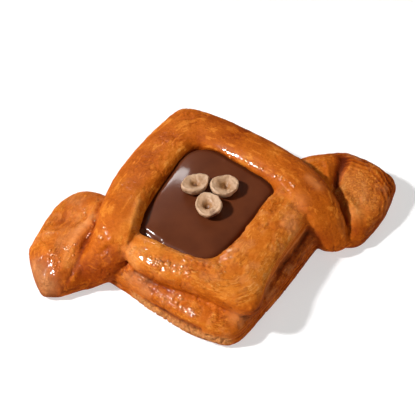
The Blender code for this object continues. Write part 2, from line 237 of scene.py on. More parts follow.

# Places or lines that were baked darker (above 0) or stayed paler (below 0), others darkened by
# painted shade in creases,
# hollows and on sides turned from the lamp or lightened by painted light in shade, and where the
# top skin is dry and pinkish:
# the line in mm, its reach, how much darker, and how dry
BROWNING_AND_PAINTED_SHADE = [
    # the upper strip: painted shade on its outer right side, turned from the lamp, and in the
    # groove beside its left end; that end, and painted shade on its steep front
    ([(10, 46.7, 20), (19.1, 38.5, 20), (29, 25.3, 20), (38.6, 12, 21), (45, 1, 20), (49, -8, 14)],
     3.5, 0.2, 0),
    (EAR_GROOVE, 1.1, 0.14, 0),
    ([(-44, -8, 22), (-50, -10, 18)], 6, -0.1, 0),
    ([(-60, -14, 11), (-55, -14.5, 12), (-49, -15, 14)], 4.5, 0.22, 0),
    ([(-61.5, -17.5, 5), (-53, -17.9, 8), (-48, -17, 10)], 7, 0.06, 0),
    # painted shade where its left end meets the lower strip and in the recess there
    ([(-42.2, -14.5, 19.6), (-39.9, -10.7, 23.6)], 3, 0.08, 0),
    ([(-46, -13.5, 18), (-42.5, -15, 17)], 4, 0.2, 0),
    # painted light on the shaded inside of its left arm, the ridge there, a dry patch on its right
    # arm, and its right end
    ([(-12, 33, 21), (-22, 20, 21), (-30, 8, 21)], 3, -0.1, 0),
    ([(-37, -5.5, 24.6), (-34.3, 0, 25.2), (-32, 5, 24.8)], 1.6, -0.2, 0.3),
    ([(39.8, 1.8, 24), (42.5, -2.4, 23)], 2.2, -0.08, 0.5),
    ([(46, -18, 8), (43, -20, 10)], 5, 0.12, 0),
    # the lower strip: its left shoulder, its left end, its right shoulder, its lip, and painted
    # shade down its right side to its foot and along its front foot
    ([(-30, -25, 22), (-10, -38, 22)], 4, 0.06, 0),
    ([(-40, -17, 19), (-38.5, -21, 18)], 3.5, -0.2, 0.55),
    ([(33.3, -7.5, 22), (29.4, -14, 21.5), (25.9, -19, 21.5)], 3.5, 0.06, 0.35),
    (STRIP_LIP, 1.2, -0.18, 0.5),
    (STRIP_FOOT, 4.0, 0.28, 0.15),
    (STRIP_FRONT_FOOT, 1.0, 0.35, 0),
    # the base: its left end, its front corner, painted shade on its right side, turned from the
    # lamp, and in the groove of the parted layer, and its dry edge
    ([(-38, -25, 12), (-30, -33, 12)], 4, 0.08, 0),
    ([(-41, -24, 11), (-37, -28, 11)], 3.5, 0.06, 0.4),
    ([(-5, -52.5, 12.5)], 3, -0.25, 0.6),
    ([(36.3, -19.4, 6), (28.6, -27.6, 6), (20.1, -37, 6), (9.8, -48, 6), (3, -55, 6)], 8, 0.1, 0),
    ([(-36.5, -31, 6.2), (-32.6, -36, 6.4), (-29, -41.8, 6.6), (-25.8, -45.5, 7), (-22.5, -48.9, 7),
      (-19.1, -51.8, 7)], 0.9, 0.6, 0),
    (BASE_EDGE, 2.2, -0.3, 1.3),
    # the left ear: painted shade in its hollow, its top, its crest, the fold below that, and its
    # tip
    ([(-63, 13, 11)], 4, 0.12, 0),
    ([(-56, 17, 13), (-60, 9, 13), (-66, 3, 13)], 6, 0, 0.15),
    ([(-51.5, 9, 15.4), (-55.5, 5, 14.6), (-59, 2, 14.2), (-62, -1.5, 14)], 2.2, -0.16, 0.75),
    ([(-62, -2, 14), (-64.5, -6, 13.4), (-66, -11, 11.6)], 1.6, -0.14, 0.4),
    ([(-62.5, -6, 13), (-63.5, -11, 11.5)], 3, -0.14, 0.2),
    ([(-77.5, -8, 8), (-75, -16, 7)], 5, 0.6, 0.7),
    # the right ear: painted shade in its last crease, painted light that lifts the upper strip's
    # shadow in the recess beside it, painted shade at its foot, and its far and right edges
    ([(59.2, 15.9, 14), (56.8, 11.9, 13), (54.6, 8.7, 12.5), (52.8, 5.5, 11.5)], 2.4, 0.4, 0),
    ([(52.8, 3, 11), (53.5, -6.4, 10.3), (54, -9.5, 10)], 2.0, -0.28, 0),
    ([(55, -9, 11), (54.5, -12.5, 10), (54, -16.7, 9), (51, -20.1, 7.4)], 3.0, 0.1, 0),
    ([(60, 19, 14), (68, 14, 13), (75, 6, 11)], 4.5, 0.25, 0),
    ([(76, -2, 8), (70, -12, 6), (60, -19, 5)], 6, 0.22, 0),
    # and its torn patch
    ([(57, -10, 11)], 4, -0.25, 0.6),
    ([(60, 4, 14), (62, -6, 12)], 6, 0, 0.35),
    ([(55.8, 3, 12), (58, 8, 14)], 2.5, -0.2, 0.4),
]
# Rows in which the syrup set thick: the line in mm, its reach, and how much the crust shines there.
# The right arm of the upper strip, the left side of the lower one, the base below it, the left ear,
# and the front of the lower strip
BEAD_ROWS = [
    ([(8.5, 29.1, 21.2), (15, 21.7, 21.9), (20.5, 16.1, 22.9), (25, 9, 23.7)], 1.2, 1.2),
    ([(-34.5, -21.5, 22.6), (-28, -26.5, 22.6), (-22, -30, 22.6), (-16, -33, 22.6)], 2.2, 0.6),
    ([(-36.5, -28, 12), (-34.9, -29.5, 12), (-28, -36, 12.3), (-21, -42, 12.6)], 1.2, 0.2),
    ([(-70, -6.5, 12.3), (-69.5, -10.5, 11.5)], 1.6, 1.0),
    ([(-12, -33.5, 22.4), (-3, -33, 22.4), (0, -26, 22.3)], 2.0, 0.8),
]


def smooth_run(stations):
    """Points on a smooth curve through the stations."""
    knots = np.array(stations, dtype=float)
    if len(knots) == 1:
        return knots
    knots = np.vstack([2 * knots[0] - knots[1], knots, 2 * knots[-1] - knots[-2]])
    run = []
    for before, start, end, after in zip(knots, knots[1:], knots[2:], knots[3:]):
        for t in np.arange(LINE_STEPS) / LINE_STEPS:
            run.append(0.5 * (2 * start + (end - before) * t
                              + (2 * before - 5 * start + 4 * end - after) * t ** 2
                              + (3 * start - before - 3 * end + after) * t ** 3))
    run.append(knots[-2])
    return np.array(run)


def near_line(points, stations, axes=(1, 1, 1)):
    """Each point's distance to a smooth line, how far along the nearest place is, and which side.

    Each axis counts as much as axes says."""
    line = smooth_run(stations) * axes
    points = points * axes
    best = np.linalg.norm(points - line[0], axis=1)
    along = np.zeros(len(points))
    turned = np.zeros(len(points))
    travelled = 0
    for start, end in zip(line, line[1:]):
        step = end - start
        length = np.linalg.norm(step)
        offset = points - start
        part = np.clip(offset @ step / length ** 2, 0, 1)
        away = np.linalg.norm(offset - part[:, None] * step, axis=1)
        nearer = away <= best
        best[nearer] = away[nearer]
        along[nearer] = travelled + part[nearer] * length
        turned[nearer] = np.sign(step[0] * offset[nearer, 1] - step[1] * offset[nearer, 0])
        travelled += length
    return best, along, turned


def ramp(value, low, high):
    """0 below low and 1 above high, with a soft step between."""
    t = np.clip((value - low) / (high - low), 0, 1)
    return t * t * (3 - 2 * t)


def falloff(gap, reach):
    """1 where there is no gap, falling to about a third at the reach and to 0 past it."""
    return np.exp(-(gap / reach) ** 2)


def lumps(points, size, seed, octaves=2):
    """Noise between about -1 and 1 at points in mm, in lumps of about the given size."""
    shift = Vector((seed * 7.3, seed * 3.1, seed * 5.7))
    return np.array([noise.fractal(Vector(p) / size + shift, 1.0, 2.0, octaves)
                     for p in points.tolist()])


def lumps_of(points, rows, octaves=2):
    """Lumps of several heights and sizes together."""
    return sum(height * lumps(points, size, seed, octaves) for height, size, seed in rows)


def cells(points, size, seed):
    """Distance to the nearest of scattered centres, 0 at a centre and about 1 between them."""
    shift = Vector((seed * 2.9, seed * 8.3, seed * 4.1))
    return np.array([noise.voronoi(Vector(p) / size + shift)[0][0] for p in points.tolist()])


def fine_copy(node, name, grain, softening):
    """The frame's solid drawn again on a finer mesh, with its flat facets smoothed away."""
    piece = bpy.data.objects.new(name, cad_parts[node].data.copy())
    bpy.context.scene.collection.objects.link(piece)
    bm = bmesh.new()
    bm.from_mesh(piece.data)
    bmesh.ops.remove_doubles(bm, verts=bm.verts, dist=0.01 * MM)
    bm.to_mesh(piece.data)
    bm.free()
    remesh = piece.modifiers.new("finer", "REMESH")
    remesh.mode = "VOXEL"
    remesh.voxel_size = grain * MM
    soften = piece.modifiers.new("soften", "SMOOTH")
    soften.factor = SMOOTHING
    soften.iterations = softening
    seen = piece.evaluated_get(bpy.context.evaluated_depsgraph_get())
    mesh = bpy.data.meshes.new_from_object(seen)
    piece.modifiers.clear()
    piece.data = mesh
    mesh.name = name
    mesh.materials.clear()
    mesh.shade_smooth()
    return piece


def read_points(mesh):
    """The mesh's points in mm, and the direction in which its surface faces at each."""
    flat = np.empty(len(mesh.vertices) * 3, dtype=np.float32)
    mesh.vertices.foreach_get("co", flat)
    facing = np.empty(len(mesh.vertices) * 3, dtype=np.float32)
    mesh.vertex_normals.foreach_get("vector", facing)
    return flat.reshape(-1, 3).astype(float) / MM, facing.reshape(-1, 3).astype(float)


def write_points(mesh, points):
    """The mesh's points moved to the given ones, in mm."""
    mesh.vertices.foreach_set("co", (points * MM).astype(np.float32).ravel())
    mesh.update()


def write_attribute(mesh, name, values):
    """A number or a vector kept at each point, which the material reads."""
    kind = "FLOAT" if values.ndim == 1 else "FLOAT_VECTOR"
    attribute = mesh.attributes.new(name, kind, "POINT")
    field = "value" if values.ndim == 1 else "vector"
    attribute.data.foreach_set(field, values.astype(np.float32).ravel())


def edge_ends(mesh):
    """The two points of each edge."""
    ends = np.empty(len(mesh.edges) * 2, dtype=np.int32)
    mesh.edges.foreach_get("vertices", ends)
    return ends.reshape(-1, 2)


def around(values, ends):
    """For each point, the mean of what the points that share an edge with it have."""
    columns = values.reshape(len(values), -1).T
    count = np.bincount(ends.ravel(), minlength=len(values))
    total = [np.bincount(ends[:, 0], column[ends[:, 1]], len(values))
             + np.bincount(ends[:, 1], column[ends[:, 0]], len(values)) for column in columns]
    return (np.stack(total) / count).T.reshape(values.shape)


def valleys(points, facing, ends, low, high):
    """1 at the bottom of a sharp valley between two lobes, and 0 on open surface."""
    deep = ramp(((around(points, ends) - points) * facing).sum(axis=1), low, high)
    return np.maximum(deep, around(deep, ends))


def clear_underside(mesh, spacing):
    """The flat underside as a few wide faces, so that the mesh's points go where they show."""
    flat = 0.02 * MM
    bm = bmesh.new()
    bm.from_mesh(mesh)
    under = [face for face in bm.faces if max(vert.co.z for vert in face.verts) < flat]
    bmesh.ops.delete(bm, geom=under, context="FACES")
    rim = [edge for edge in bm.edges if edge.is_boundary]
    made = bmesh.ops.triangle_fill(bm, edges=rim, use_beauty=True, normal=(0, 0, -1))["geom"]
    made += rim + list({vert for edge in rim for vert in edge.verts})
    for axis in range(2):
        normal = Vector((axis == 0, axis == 1, 0))
        reach = int(max(abs(vert.co[axis]) for vert in bm.verts) / MM / spacing)
        for step in range(-reach, reach + 1):
            made = bmesh.ops.bisect_plane(bm, geom=made, plane_co=normal * step * spacing * MM,
                                          plane_no=normal, dist=0.001 * MM)["geom"]
    for face in (part for part in made if isinstance(part, bmesh.types.BMFace)):
        face.smooth = False
        if face.normal.z > 0:
            face.normal_flip()
    bm.to_mesh(mesh)
    bm.free()


dough = fine_copy("pastry", "dough", DOUGH_GRAIN, DOUGH_SOFTENING)
points, facing = read_points(dough.data)
ends = edge_ends(dough.data)
stays = valleys(points, facing, ends, *FOLD_DEPTH)
for turn in range(FACET_ROUNDS):
    points += SMOOTHING * (1 - stays)[:, None] * (around(points, ends) - points)
points[points[:, 2] < TRAY_GAP, 2] = 0
write_points(dough.data, points)
clear_underside(dough.data, TRAY_CUT)
points, facing = read_points(dough.data)
ends = edge_ends(dough.data)

# Streak coordinates at each point: along the nearest strip, off its middle line, and up
near = [near_line(points, line) for line, darker in COURSES]
away = np.stack([part[0] for part in near])
nearest = away.argmin(axis=0)
pick = (nearest, np.arange(len(points)))
along = np.stack([part[1] for part in near])[pick]
across = (away * np.stack([part[2] for part in near]))[pick]
streak = np.column_stack([along + STREAK_SHIFT * nearest, across, points[:, 2]])
share = np.exp(-(away - away.min(axis=0)) / STRIP_BLEND)
share /= share.sum(axis=0)

side = ramp(1 - np.abs(facing[:, 2]), *SIDE_SLOPE)
top = ramp(facing[:, 2], *TOP_SLOPE)
ear_edge = np.interp(points[:, 1], EAR_EDGE_Y, EAR_EDGE_X)
right_ear = ramp(points[:, 0] - ear_edge, 0, EAR_EDGE_BLEND)

# Where the streaks of two strips meet they fade out
apart = np.linalg.norm(streak[ends[:, 0]] - streak[ends[:, 1]], axis=1)
apart /= np.linalg.norm(points[ends[:, 0]] - points[ends[:, 1]], axis=1) + 0.1
meeting = np.zeros(len(points))
meeting[ends[apart > MEETING_JUMP].ravel()] = 1
for turn in range(MEETING_ROUNDS):
    meeting = np.maximum(meeting, around(meeting, ends))
steady = 1 - ramp(meeting, 0, 0.5)

# Lumps of uneven rise, wrinkles along the strips, and blisters where the top layer lifted
rise = lumps_of(points, RISE_LUMPS)
rise += WRINKLE_HEIGHT * steady * lumps(streak * WRINKLE_STRETCH, 1, 9)
blistered = ramp(lumps(points, BLISTERED_SIZE, 3), *BLISTERED_EDGE)
blisters = np.clip(1 - BLISTER_GAP * cells(points, BLISTER_SIZE, 4), 0, 1)
puffed = PUFFED[0] + PUFFED[1] * (share[LOWER_STRIP] + share[BASE])
rise += top * blistered * puffed * BLISTER_HEIGHT * blisters ** BLISTER_ROUNDNESS
rise += top * puffed * lumps_of(points, PIMPLES, octaves=1)
sway = np.column_stack([lumps(points, 4, 15), lumps(points, 4, 16), 0 * across])
seam = lumps(points + SEAM_SWAY * sway, SEAM_SIZE, 17)
rise -= SEAM_DEPTH * blistered * falloff(seam, SEAM_WIDTH)
# Cut sides: thin layers parted in the oven
layer_turn = (points[:, 2] + lumps_of(points, LAYER_SWAY)) * math.tau
layer_lines = sum(np.sin(layer_turn / spacing + i) for i, spacing in enumerate(LAYER_SPACINGS))
parted = side * (LAYER_SIDES[0] + LAYER_SIDES[1] * ramp(facing[:, 0], 0, 0.5))
rise += parted * LAYER_HEIGHT * layer_lines * ramp(points[:, 2], 0, LAYER_START)
# Folds and creases, measured mostly in plan
uneven = lumps(points, FOLD_LUMPS, 21)
for line, half_width, height in FOLDS:
    gap = near_line(points, line, PLAN)[0]
    rise += height * (FOLD_LEAST + FOLD_VARIES * uneven) * falloff(gap, half_width)
for line, start, end, left, size, height in PLEATS:
    gap, along_line, turned = near_line(points, line, PLAN)
    out = gap * turned * left
    within = ramp(out, start, start + PLEAT_START) * (1 - ramp(out, end / 2, end))
    for from_end in (along_line, along_line.max() - along_line):
        within *= ramp(from_end, *PLEAT_ENDS)
    bent = np.column_stack([PLEAT_STRETCH * along_line + PLEAT_SLANT[0] * out,
                            out + PLEAT_SLANT[1] * along_line, 0 * out])
    rise += height * within * lumps(bent, size, 14)
to_hollow = np.hypot(*(points[:, :2] - HOLLOW).T)
rise -= HOLLOW_DEPTH * top * falloff(to_hollow, HOLLOW_REACH)
# Rings of layers and the torn patch on the right ear, and the torn edge of the base
ring = np.hypot(*(points[:, :2] - RING_CORNER).T)
rings = right_ear * top * ramp(ring, *RING_START) * ramp(points[:, 0], *RING_SIDE)
ring_wave = rings * np.sin((ring + RING_SWAY * lumps(points, 9, 12)) * math.tau / RING_SPACING)
rise += RING_HEIGHT * ring_wave
tray_edge = 1 - ramp(near_line(points, BASE_EDGE)[0], *BASE_EDGE_REACH)
to_patch = np.hypot(*(points[:, :2] - TORN_PATCH).T)
torn = right_ear * top * (1 - ramp(to_patch, *TORN_PATCH_REACH))
crumb = np.clip(lumps(points, CRUMB_SIZE, 13, octaves=3), *CRUMB_LIMITS)
rise -= TORN_DEPTH * (torn + BASE_EDGE_TORN * tray_edge) * crumb
# Crevices between the lobes go a little deeper
crevice = valleys(points, facing, ends, *CREVICE_DEPTH)
rise -= CREVICE_CUT * around(crevice, ends)
rise *= ramp(points[:, 2], 0.0, TRAY_RISE)
points += facing * rise[:, None]
points = np.clip(points, np.array(cad_box[0]) / MM, np.array(cad_box[1]) / MM)
write_points(dough.data, points)

# How dark each place is: baked by the strip and in patches, darker at the edges on the tray and on
# the sides, with painted shade in hollows and in the places of the table above
points, facing = read_points(dough.data)
smoothed = points
for turn in range(HOLLOW_ROUNDS):
    smoothed = smoothed + SMOOTHING * (around(smoothed, ends) - smoothed)
hollow = ((smoothed - points) * facing).sum(axis=1)
bake = BAKE + np.array([darker for line, darker in COURSES]) @ share
bake += lumps_of(points, BAKE_PATCHES)
bake += TRAY_BROWNING_AND_SHADE * (1 - ramp(points[:, 2], *TRAY_DARK_HEIGHT)) + SIDE_BROWNING_AND_SHADE * side
bake += HOLLOW_PAINTED_SHADE * np.clip(hollow, *HOLLOW_LIMITS) - RING_PALER * ring_wave
pale = np.zeros(len(points))
for line, reach, darker, paler in BROWNING_AND_PAINTED_SHADE:
    there = falloff(near_line(points, line)[0], reach)
    bake += darker * there
    pale = np.maximum(pale, paler * there)
beads = np.zeros(len(points))
shine = np.zeros(len(points))
for line, reach, gloss in BEAD_ROWS:
    gap = near_line(points, line)[0]
    beads = np.maximum(beads, falloff(gap, reach))
    shine = np.maximum(shine, gloss * falloff(gap, 2 * reach))
brushed = top * (1 - EAR_DRY * right_ear) * ramp(points[:, 2], *GLAZED_HEIGHT)
upper = share[UPPER_STRIP]
# What the material reads at each point
crust_facts = {
    "streak": streak,
    "layered": np.clip(parted + 0.6 * rings, 0, 1) * steady,
    "streaky": (0.25 + 0.75 * upper) * steady,
    "steady": steady,
    "rough": (1 - upper) * steady * (0.35 + 0.65 * top),
    "blistered": blistered * top * puffed ** 1.5,
    "glazed": brushed * (1 - pale) ** 2 * (THIN_GLAZE + shine),
    "torn": np.maximum(torn, BASE_EDGE_PITTED * tray_edge),
    "beaded": beads,
    "pale": pale,
    "bake": bake,
}
for name, values in crust_facts.items():
    write_attribute(dough.data, name, values)


class Amount:
    """One output of a material's node. Python's operators on it add the Math nodes."""

    def __init__(self, recipe, socket):
        self.recipe = recipe
        self.socket = socket

    def combined(self, operation, first, second):
        return self.recipe.node("ShaderNodeMath", {"operation": operation}, {0: first, 1: second})

    def __add__(self, other):
        return self.combined("ADD", self, other)

    def __radd__(self, other):
        return self.combined("ADD", other, self)

    def __sub__(self, other):
        return self.combined("SUBTRACT", self, other)

    def __rsub__(self, other):
        return self.combined("SUBTRACT", other, self)

    def __mul__(self, other):
        return self.combined("MULTIPLY", self, other)

    def __rmul__(self, other):
        return self.combined("MULTIPLY", other, self)

    def __abs__(self):
        return self.combined("ABSOLUTE", self, 0)


class Recipe:
    """A material's or the room's nodes. node() adds one of any type, with settings and inputs."""

    def __init__(self, owner):
        owner.use_nodes = True
        self.owner = owner
        self.tree = owner.node_tree

    def node(self, kind, settings, inputs, output=0):
        made = self.tree.nodes.new(kind)
        for name, setting in settings.items():
            if name == "stops":
                elements = made.color_ramp.elements
                while len(elements) < len(setting):
                    elements.new(1)
                for element, (position, colour) in zip(elements, setting):
                    element.position = position
                    element.color = (*colour, 1)
            else:
                setattr(made, name, setting)
        for name, value in inputs.items():
            self.feed(made.inputs[name], value)
        return Amount(self, made.outputs[output])

    def feed(self, socket, value):
        if isinstance(value, Amount):
            self.tree.links.new(value.socket, socket)
        else:
            socket.default_value = value

    def finish(self, shader, sockets):
        for name, value in sockets.items():
            self.feed(self.tree.nodes[shader].inputs[name], value)
        return self.owner


def place_in_mm(recipe):
    """Where each spot of the surface lies, in mm."""
    place = recipe.node("ShaderNodeTexCoord", {}, {}, "Object")
    return recipe.node("ShaderNodeVectorMath", {"operation": "SCALE"}, {0: place, "Scale": 1 / MM})


def fact(recipe, name, output="Fac"):
    """What write_attribute kept at each point."""
    return recipe.node("ShaderNodeAttribute", {"attribute_name": name}, {}, output)


def step(recipe, value, low, high, below=0, above=1):
    """One amount where the value is low and another where it is high, with a soft step between."""
    return recipe.node("ShaderNodeMapRange", {"interpolation_type": "SMOOTHSTEP"}, {
        "Value": value, "From Min": low, "From Max": high, "To Min": below, "To Max": above})


def mottle(recipe, place, scale, detail, roughness=0.5, distortion=0, edge=None):
    """Blotches of noise between 0 and 1. An edge gives the values between which they set in."""
    made = recipe.node("ShaderNodeTexNoise", {}, {
        "Vector": place, "Scale": scale, "Detail": detail, "Roughness": roughness,
        "Distortion": distortion})
    return step(recipe, made, *edge) if edge else made


def streaks(recipe, place, stretch, *rest):
    """Blotches drawn out along the strips."""
    drawn = recipe.node("ShaderNodeVectorMath", {"operation": "MULTIPLY"}, {0: place, 1: stretch})
    return mottle(recipe, drawn, 1, *rest)


def blend(recipe, amount, colour, other):
    """A colour that gives way to another by the amount."""
    return recipe.node("ShaderNodeMix", {"data_type": "RGBA", "clamp_factor": True},
                       {0: amount, 6: colour, 7: (*other, 1)}, 2)


# Patterns drawn out along the strips: how many blotches in a mm along a strip, across it and
# upwards, the noise's detail, roughness and distortion, and where it has an edge
STREAKS = {
    "honey": ((0.14, 0.42, 0.35), 4, 0.55, 0.25, (0.54, 0.61)),
    "flake": ((0.3, 0.75, 0.5), 3, 0.6, 0, (0.55, 0.68)),
    "fibre": ((0.22, 1.3, 0.8), 3, 0.6),
    "layers": ((0.05, 0.2, 1.5), 3, 0.7),
    "wrinkle": ((0.2, 0.6, 0.6), 4, 0.6, 0.4),
    "fleck": ((0.4, 0.85, 0.85), 4, 0.65, 0.5, (0.53, 0.6)),
}
# Patterns that aren't: how many blotches in a mm, and the rest as above
MOTTLES = {
    "broad": (0.09, 3),
    "fine": (0.9, 5, 0.7),
    "wrinkled": (0.16, 2, 0.5, 0, (0.42, 0.6)),
    "pit": (1.2, 3, 0.7, 0, (0.42, 0.6)),
    "patch": (0.13, 4, 0.6, 0, (0.47, 0.62)),
}
FLAKES = 0.45             # how strong the flakes are beside the streaks
UPPER_FLAKES = 0.15       # and how much stronger on the upper strip
WRINKLE_WIDTH = 0.035     # how near the middle of its pattern a wrinkle shows
WANDER = 5                # mm that the outlines of blisters wander
CRACK_WIDTH = 0.2         # how near the edge of a cell a crack shows
# The crust's colours from the least baked to the darkest, and that of dry skin
CRUST_COLOURS = [
    (0.0, (0.78, 0.36, 0.10)),
    (0.25, (0.70, 0.215, 0.022)),
    (0.5, (0.52, 0.112, 0.006)),
    (0.75, (0.29, 0.044, 0.002)),
    (1.0, (0.11, 0.013, 0.001)),
]
DRY_COLOUR = (0.73, 0.275, 0.09)
# How much darker (above 0) or paler (below 0) each pattern makes the crust
DARKER = {
    "broad": 0.4, "fine": 0.42, "fibre": 0.1, "honey": -0.2, "layers": 0.7, "crack": 0.08,
    "blister": 0.18, "wrinkle": 0.14, "fleck": -0.19, "torn": 0.08, "pit": -0.28,
}
# How much drier: in patches, everywhere in a dry place, and by each pattern there
DRIER = {"patch": 0.35, "all": 0.35, "fine": 0.9, "layers": 0.8, "pit": -0.25}
# How far each raises the crust (above 0) or sinks it (below 0), as a part of the bump's depth
RAISED = {
    "fine": 0.9, "glazed": -0.4, "fibre": 0.2, "wrinkle": -0.5, "fleck": 0.3, "blister": -0.4,
    "crack": -0.2, "layers": 0.9, "bead": -1.5, "pit": -0.6,
}
CRUST_BUMP = 0.5          # mm

crust = Recipe(bpy.data.materials.new("crust"))
place = place_in_mm(crust)
streak_place = fact(crust, "streak", "Vector")
kept = {name: fact(crust, name) for name in crust_facts if name != "streak"}
drawn = {name: streaks(crust, streak_place, *row) for name, row in STREAKS.items()}
drawn |= {name: mottle(crust, place, *row) for name, row in MOTTLES.items()}
broad, fine, fibre, layers, pit = (
    drawn[name] for name in ["broad", "fine", "fibre", "layers", "pit"])

# Honey-coloured streaks and flakes where the top layer is thin
flake_share = kept["steady"] * FLAKES + kept["streaky"] * UPPER_FLAKES
honey = drawn["honey"] * kept["streaky"] + drawn["flake"] * flake_share
# Fine wrinkles of the top skin in patches, and paler flecks where it lifted
wrinkle = step(crust, abs(drawn["wrinkle"] - 0.5), 0, WRINKLE_WIDTH, 1, 0)
wrinkle = wrinkle * kept["rough"] * drawn["wrinkled"]
fleck = drawn["fleck"] * kept["rough"]
# Blisters with darker cracks between them
wander = crust.node("ShaderNodeTexNoise", {}, {"Vector": place, "Scale": 0.5, "Detail": 2}, "Color")
wander = crust.node("ShaderNodeVectorMath", {"operation": "MULTIPLY_ADD"},
                    {0: wander, 1: (WANDER, WANDER, WANDER), 2: place})
blister = crust.node("ShaderNodeTexVoronoi", {"feature": "SMOOTH_F1"},
                     {"Vector": wander, "Scale": 0.42, "Smoothness": 0.3})
crack = crust.node("ShaderNodeTexVoronoi", {"feature": "DISTANCE_TO_EDGE"},
                   {"Vector": wander, "Scale": 0.3})
crack = step(crust, crack, 0, CRACK_WIDTH, 1, 0) * kept["blistered"]
# Grains of set syrup in its rows
bead = crust.node("ShaderNodeTexVoronoi", {"feature": "SMOOTH_F1"},
                  {"Vector": place, "Scale": 0.5, "Smoothness": 0.4})

# The crust's tone, with the painted shade and light that the kept numbers carry, picks its colour
tone = (kept["bake"] + (broad - 0.5) * DARKER["broad"] + (fine - 0.5) * DARKER["fine"]
        + (fibre - 0.5) * kept["steady"] * DARKER["fibre"] + honey * DARKER["honey"]
        + kept["layered"] * (layers - 0.5) * DARKER["layers"] + crack * DARKER["crack"]
        + (blister - 0.5) * kept["blistered"] * DARKER["blister"]
        + wrinkle * DARKER["wrinkle"] + fleck * DARKER["fleck"]
        + kept["torn"] * (pit * DARKER["pit"] + DARKER["torn"]))
colour = crust.node("ShaderNodeValToRGB", {"stops": CRUST_COLOURS}, {"Fac": tone})
dryness = ((kept["pale"] + drawn["patch"] * kept["rough"] * DRIER["patch"])
           * (DRIER["all"] + fine * DRIER["fine"] + (layers - 0.5) * DRIER["layers"]
              + kept["torn"] * pit * DRIER["pit"]))
colour = blend(crust, dryness, colour, DRY_COLOUR)
height = ((fine - 0.5) * (RAISED["fine"] + kept["glazed"] * RAISED["glazed"])
          + (fibre - 0.5) * kept["steady"] * RAISED["fibre"] + wrinkle * RAISED["wrinkle"]
          + fleck * RAISED["fleck"] + blister * kept["blistered"] * RAISED["blister"]
          + crack * RAISED["crack"] + kept["layered"] * layers * RAISED["layers"]
          + kept["beaded"] * bead * RAISED["bead"] + kept["torn"] * pit * RAISED["pit"])
normal = crust.node("ShaderNodeBump", {}, {
    "Height": height, "Strength": 0.8, "Distance": CRUST_BUMP * MM})
# The syrup lies thick in some places and has soaked in at others
wet = step(crust, mottle(crust, wander, 0.28, 4, 0.6), 0.42, 0.58, below=0.25)
crust_finish = crust.finish("Principled BSDF", {
    "Base Color": colour, "Roughness": 0.55, "Specular IOR Level": 0.03, "Normal": normal,
    "Coat Weight": kept["glazed"] * wet, "Coat Roughness": 0.12, "Coat IOR": 1.6,
})
dough.data.materials.append(crust_finish)
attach(dough, "root")
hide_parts("pastry")

# ---------------------------------------------------------------------------------------------
# Syrup. The sugar syrup brushed on after baking drew together in small clear beads along the
# shoulders of the strips and on the left ear, where it set.

# Rows and clusters of beads: the line in mm, how far they stray from it, how many there are, how
# large the smallest and largest are, and how high they stand as a part of their radius
SYRUP = [
    # the right arm of the upper strip
    ([(8.5, 29.1, 21.2), (14.3, 22, 21.6), (22.1, 11.8, 22.5), (29.5, 2.5, 24.6),
      (32.6, -1.9, 24.4)], 0.5, 30, 0.3, 0.8, 0.42),
    # the left side of the lower strip, and its front
    ([(-34.4, -22.6, 22.3), (-31.5, -25.4, 22.4), (-28.7, -27.5, 22.3)], 0.9, 14, 0.45, 1.0, 0.42),
    ([(-28.7, -27.5, 22.3), (-21.7, -32.8, 22.3), (-17.5, -35, 22.4)], 1.0, 22, 0.3, 0.8, 0.42),
    ([(-40.4, -16.9, 20.2)], 0.8, 3, 0.25, 0.45, 0.6),
    ([(-2.9, -31, 22.5), (-5.8, -36.3, 22.8), (-8.5, -40.8, 22.2)], 1.0, 5, 0.25, 0.4, 0.6),
    # the front of the base
    ([(-38.2, -25.2, 12), (-36.7, -27.2, 11.7)], 0.8, 8, 0.2, 0.45, 0.5),
    ([(-32.6, -31.5, 12.1), (-29.2, -36.6, 11.6), (-26.2, -39.9, 11.8), (-21.7, -45.2, 12),
      (-20, -47, 11.9)], 0.7, 44, 0.25, 0.65, 0.42),
    ([(-27, -35.4, 12.8), (-24.8, -37.5, 12.9), (-23.1, -39.8, 12.8)], 0.4, 10, 0.3, 0.6, 0.42),
    # the left ear
    ([(-51.5, 7.5, 15.4), (-51.5, 4.6, 14.9), (-53, 1.8, 14.7), (-55.1, -1.2, 14)],
     0.6, 14, 0.25, 0.55, 0.6),
    ([(-62.2, -3.2, 14.1), (-63.7, -4.7, 13.8), (-64.7, -9.5, 12.4)], 1.0, 22, 0.25, 0.55, 0.55),
    ([(-72.2, -4.8, 11.8), (-70.5, -6.9, 11.8), (-69.2, -9.1, 11.5), (-70.2, -12.3, 10.6)],
     1.6, 44, 0.15, 0.5, 0.55),
    ([(-71.5, 7.8, 11.3), (-68.7, 6.7, 11.8), (-65.9, 5.5, 12.6)], 0.4, 12, 0.15, 0.35, 0.6),
    ([(-53.9, 14.1, 13.6)], 0.9, 8, 0.2, 0.45, 0.6),
    # the left end of the upper strip
    ([(-50.6, -7.1, 20.9)], 0.4, 3, 0.4, 0.7, 0.5),
    ([(-47.5, -4.6, 23.4)], 0.4, 2, 0.3, 0.5, 0.6),
]
BEAD_SEED = 5
BEAD_RADIUS = 1.3         # mm of radius for each 1 of size in the rows
BEAD_LENGTH = (0.8, 1.3)  # how long a bead is at least and at most, as a part of its width
BEAD_GLOSS = 2.25         # how much a bead shines, where 1 is glazed crust
# Painted light: beads are made paler than the crust under them, so that their shaded sides don't
# read dark
BEAD_PAINTED_LIGHT = 0.12         # how much paler it is than the crust under it


